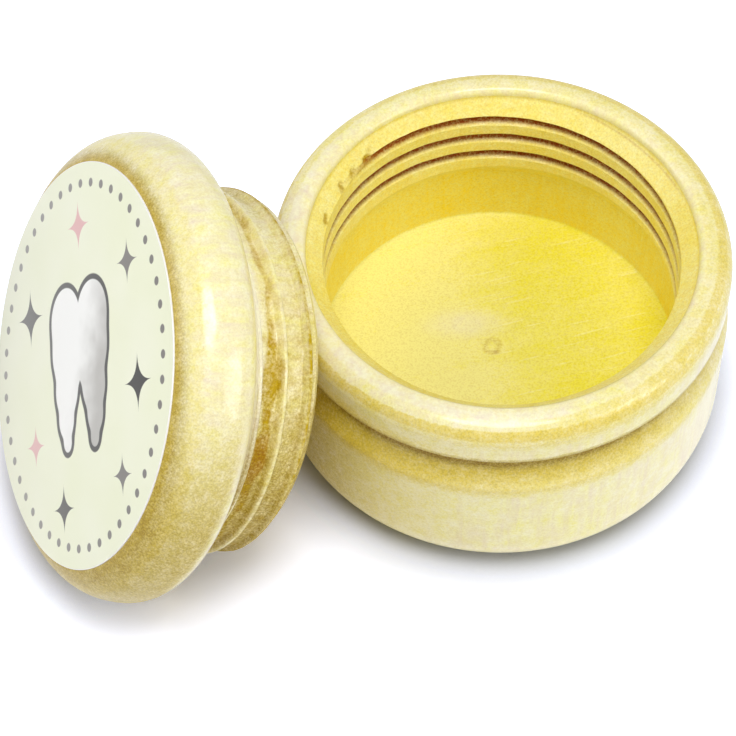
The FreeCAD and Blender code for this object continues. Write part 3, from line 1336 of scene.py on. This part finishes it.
    def _raise_thread(self, mesh: bmesh.types.BMesh) -> None:
        """Raises the ridge of the thread on the neck and tears the wood beside it.

        Args:
            mesh: The turned lid on its own axis.
        """
        thread = self.thread
        torn_and_shade = Mark.TORN_AND_SHADE.layer(mesh)
        stain_and_shade = Mark.STAIN_AND_SHADE.layer(mesh)
        core = thread.core_radius
        crest = thread.crest_radius
        core_half = 0.5 * thread.ridge_width
        crest_half = 0.5 * thread.crest_width
        neck_end = -self.rim_height - self.neck_length
        start = neck_end + self.start_length
        cone_top = -self.rim_height - self.shoulder_length
        top = cone_top - (self.lead_in_depth - self.shoulder_length) * self.runout_share
        taper_slope = crest + self.thread_overrun - core + self.end_chamfer
        taper_slope /= self.taper_length
        for vertex in mesh.verts:
            height = vertex.co.z / MM
            radius = vertex.co.xy.length / MM
            if height > cone_top or radius < core - 0.1:
                continue
            angle = math.atan2(vertex.co.y, vertex.co.x)
            beside, turns = thread.offset(height, angle, start)
            share = clamped((core_half - abs(beside)) / (core_half - crest_half))
            ridge = core + (crest - core) * share
            taper = core - self.end_chamfer + (height - neck_end) * taper_slope
            raised = min(ridge, taper) if turns > 0.0 and height - beside < top else radius
            depth = -self.rim_height - height
            here = vertex.co / MM
            here.z *= self.along_scale
            rough = noise.noise(here * self.rough_scale)
            wander = 0.4 * noise.noise(here * self.wander_scale)
            blotch = noise.noise(here * self.blotch_scale)
            beam = 0.25 * blotch
            burnt = 0.22 * smooth_share(blotch + 0.3 * rough, 0.0, 0.4)
            for broad in self.rents:
                aside = abs(math.degrees(angle) - broad.angle_deg)
                near = 1.0 - smooth_share(aside, *self.rent_reach_deg)
                beam += broad.widening * near
                burnt = max(burnt, broad.burnt * near)
            off = abs(depth - self.rent_depth - wander) - beam
            rent = 1.0 - smooth_share(off, *self.rent_edge)
            scar = 1.0 - smooth_share(abs(beside + self.scar_drop), *self.scar_edge)
            scar *= self.scar_share * (1.0 - smooth_share(turns, *self.scar_turns))
            bared = smooth_share(depth, *self.bared_depth)
            ragged = bared * (0.1 + 0.45 * rough)
            vertex[torn_and_shade] = min(max(ragged, rent * (0.95 + 0.4 * rough), scar, 0.0), 1.0)
            vertex[stain_and_shade] = rent * burnt
            uneven = bared * (1.0 - share) * rough - rent
            vertex.co.xy *= (max(radius, raised) + self.rough_mm * uneven) / radius


@dataclass
class LidLabel:
    """The round paper label stuck on the lid's top."""

    radius: float = 19.4
    thickness: float = 0.15
    columns: int = 192
    edge_bevel: float = 0.05
    sharp_deg: float = 40.0
    print_turn_deg: float = 165.0
    paper: PrintedPaper = field(default_factory=PrintedPaper)

    def build(self, seat: Matrix) -> bpy.types.Object:
        """Cuts the label and lays it on the lid.

        Args:
            seat: Where the lid's own axes lie.

        Returns:
            The piece.
        """
        mesh = bmesh.new()
        radius = self.radius * MM
        bmesh.ops.create_circle(mesh, cap_ends=True, radius=radius, segments=self.columns)
        lifted = bmesh.ops.extrude_face_region(mesh, geom=mesh.faces[:])
        raised = [item for item in lifted["geom"] if isinstance(item, bmesh.types.BMVert)]
        bmesh.ops.translate(mesh, vec=(0.0, 0.0, self.thickness * MM), verts=raised)
        edges = [edge for edge in mesh.edges if all(vertex in raised for vertex in edge.verts)]
        bmesh.ops.bevel(
            mesh,
            geom=edges,
            offset=self.edge_bevel * MM,
            affect="EDGES",
            segments=2,
            profile=0.5,
            material=-1,
        )
        bmesh.ops.recalc_face_normals(mesh, faces=mesh.faces[:])
        bmesh.ops.transform(mesh, matrix=seat, verts=mesh.verts[:])
        material = self.paper.material("label_print", seat, self.print_turn_deg)
        return finished(mesh, "paper_label", material, self.sharp_deg)


@dataclass(frozen=True)
class Softbox:
    """A large soft lamp that points at the box."""

    name: str
    place: tuple[float, float, float]
    size: float
    power: float

    def light(self, aim: Vector) -> None:
        """Hangs the lamp.

        Args:
            aim: Where it points.
        """
        data = bpy.data.lights.new(self.name, "AREA")
        data.shape = "DISK"
        data.size = self.size
        data.energy = self.power
        lamp = bpy.data.objects.new(self.name, data)
        lamp.location = self.place
        lamp.rotation_mode = "QUATERNION"
        lamp.rotation_quaternion = (aim - Vector(self.place)).to_track_quat("-Z", "Y")
        bpy.context.scene.collection.objects.link(lamp)


@dataclass
class Studio:
    """White ground, soft light, and the camera where the photograph was taken."""

    focal_pixels: float = 2500.0
    elevation_deg: float = 55.44
    roll_deg: float = -1.59
    range_mm: float = 254.87
    shift_right: float = 13.26
    shift_up: float = 4.07
    aim_height: float = 10.0
    sensor_mm: float = 36.0
    clip_start: float = 0.01
    floor_size: float = 6.0
    floor_drop: float = 0.02
    floor_tone: float = 0.9
    floor_gain: Colour = (1.37, 1.42, 1.65)
    painted_shadow_mm: float = 6.5
    clear_from_mm: float = 75.0
    clear_to_mm: float = 150.0
    world_strength: float = 0.36
    lamp_aim: tuple[float, float, float] = (-0.012, 0.0, 0.012)
    lamps: tuple[Softbox, ...] = (
        Softbox("overhead_softbox", (0.0, -0.14, 0.64), 0.3, 2.0),
        Softbox("left_softbox", (-0.56, 0.02, 0.36), 0.4, 1.0),
        Softbox("right_softbox", (0.46, -0.34, 0.3), 0.35, 1.2),
    )

    def build(self) -> None:
        """Sets up floor, world, lamps and camera."""
        scene = bpy.context.scene
        scene.view_settings.view_transform = "Standard"
        self._floor()
        self._world(scene)
        for lamp in self.lamps:
            lamp.light(Vector(self.lamp_aim))
        self._camera(scene)

    def _floor(self) -> None:
        """Lays the white ground, which keeps the box's shadow, darkens near the box as a painted
        contact shadow, and clears to white further out.
        """
        mesh = bmesh.new()
        bmesh.ops.create_grid(mesh, x_segments=1, y_segments=1, size=0.5 * self.floor_size)
        bmesh.ops.translate(mesh, vec=(0.0, 0.0, -self.floor_drop * MM), verts=mesh.verts[:])
        material, graph = new_material("white_ground")
        seen = graph.rays("Is Camera Ray")
        mirrored = graph.rays("Is Glossy Ray", "Is Transmission Ray")
        across, back, _ = graph.axes(graph.place(Matrix()))
        # Painted shadow: for the camera the ground's colour is darkened by ambient occlusion near
        # the box.
        painted_shadow = graph.node("ShaderNodeAmbientOcclusion", {}, {"Distance": self.painted_shadow_mm * MM})
        shadowed_gain = graph.mix(Value(graph, painted_shadow.outputs["AO"]), BLACK, self.floor_gain)
        tone = graph.mix(mirrored, (self.floor_tone,) * 3, WHITE)
        colour = graph.mix(seen, tone, shadowed_gain)
        ground = graph.node("ShaderNodeBsdfDiffuse", {}, {"Color": colour})
        clear = graph.node("ShaderNodeEmission", {}, {"Color": WHITE, "Strength": 1.0})
        share = seen * graph.ease(graph.reach(across, back), self.clear_from_mm, self.clear_to_mm)
        inputs = {0: share, 1: ground.outputs[0], 2: clear.outputs[0]}
        shader = graph.node("ShaderNodeMixShader", {}, inputs)
        graph.node("ShaderNodeOutputMaterial", {}, {0: shader.outputs[0]})
        finished(mesh, "white_floor", material)

    def _world(self, scene: bpy.types.Scene) -> None:
        """Surrounds the box with even white light.

        Args:
            scene: The scene to light.
        """
        world = bpy.data.worlds.new("white_room")
        world.use_nodes = True
        scene.world = world
        graph = Graph(world.node_tree)
        seen = graph.rays("Is Camera Ray", "Is Glossy Ray", "Is Transmission Ray")
        strength = self.world_strength + seen * (1.0 - self.world_strength)
        shader = graph.node("ShaderNodeBackground", {}, {"Color": WHITE, "Strength": strength})
        graph.node("ShaderNodeOutputWorld", {}, {0: shader.outputs[0]})

    def _camera(self, scene: bpy.types.Scene) -> None:
        """Puts the camera where the photograph was taken.

        Args:
            scene: The scene that gets the camera.
        """
        elevation = math.radians(self.elevation_deg)
        roll = math.radians(self.roll_deg)
        forward = Vector((0.0, math.cos(elevation), -math.sin(elevation)))
        level = Vector((1.0, 0.0, 0.0))
        steep = level.cross(forward)
        right = level * math.cos(roll) + steep * math.sin(roll)
        up = steep * math.cos(roll) - level * math.sin(roll)
        back = forward * -self.range_mm - right * self.shift_right - up * self.shift_up
        place = (back + Vector((0.0, 0.0, self.aim_height))) * MM
        data = bpy.data.cameras.new("photo_camera")
        data.sensor_width = self.sensor_mm
        data.lens = self.sensor_mm * self.focal_pixels / IMAGE_PIXELS
        data.clip_start = self.clip_start
        camera = bpy.data.objects.new("photo_camera", data)
        turn = Matrix((right, up, -forward)).transposed().to_4x4()
        camera.matrix_world = Matrix.Translation(place) @ turn
        scene.collection.objects.link(camera)
        scene.camera = camera


def main() -> None:
    """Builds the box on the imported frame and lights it."""
    logging.basicConfig(level=logging.INFO, format="%(name)s: %(message)s")
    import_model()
    base = TurnedBase().build()
    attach(base, "base")
    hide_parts("box_base")
    lid_maker = ScrewLid()
    lid = lid_maker.build()
    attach(lid, "lid")
    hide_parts("screw_lid")
    label = LidLabel().build(lid_maker.seat())
    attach(label, "lid")
    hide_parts("lid_label")
    Studio().build()
    bpy.context.view_layer.update()


if __name__ == "__main__":
    main()
